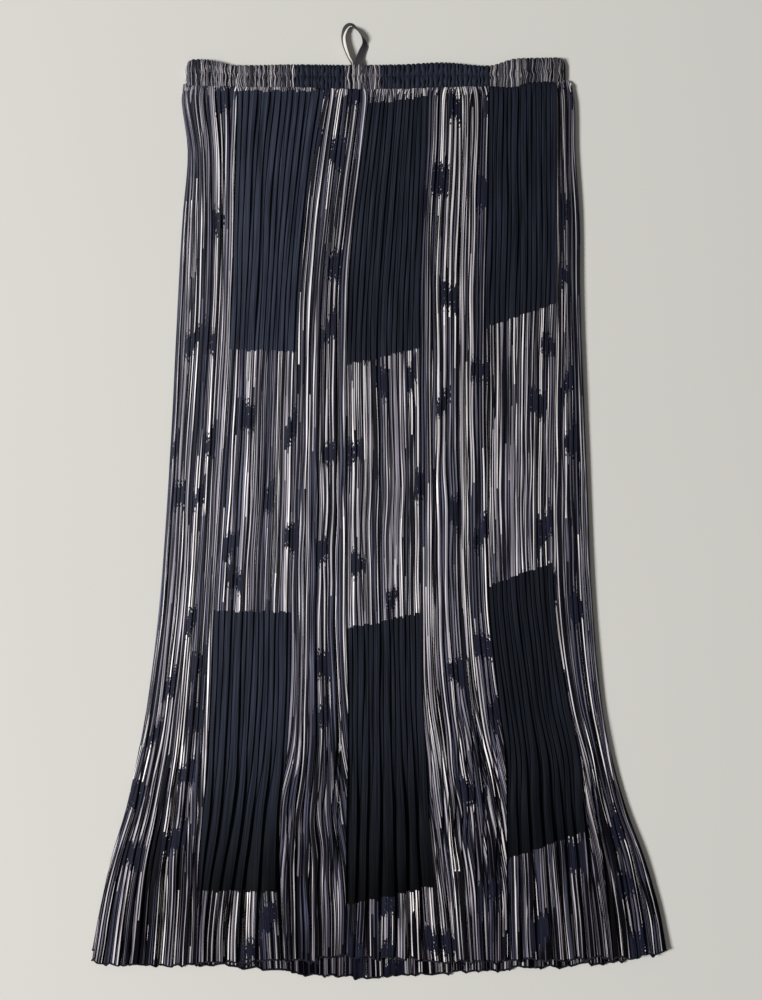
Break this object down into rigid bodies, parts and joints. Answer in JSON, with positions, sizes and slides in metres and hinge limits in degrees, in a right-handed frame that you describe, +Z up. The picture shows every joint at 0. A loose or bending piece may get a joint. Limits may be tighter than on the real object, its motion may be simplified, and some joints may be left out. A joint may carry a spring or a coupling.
{
  "type": "pleated maxi skirt",
  "caption": "Maxi skirt laid flat: knife-pleated front and back panels that flare at the hem, a gathered elastic waistband and a ribbon hanger loop.",
  "frame": {"origin": "centre of the skirt's outline, on the surface that it lies on", "axes": "+Y from the hem to the waistband and hanger loop, +Z up out of the surface, from the back panel to the front panel, +X across"},
  "size_m": [0.576, 0.956, 0.0108],
  "materials": {
    "pleated_cloth": "fine matt polyester georgette with a slight sheen, printed in uneven upright stripes of near-black navy, grey, lilac-grey and off-white, with plain dark blocks",
    "casing_cloth": "the same printed georgette, gathered over elastic",
    "ribbon": "woven satin ribbon, dark grey"
  },
  "bodies": {
    "root": {"front_panel": "pleated_cloth", "back_panel": "pleated_cloth", "waistband_front": "casing_cloth", "waistband_back": "casing_cloth", "hanger_loop": "ribbon"}
  },
  "joints": []
}
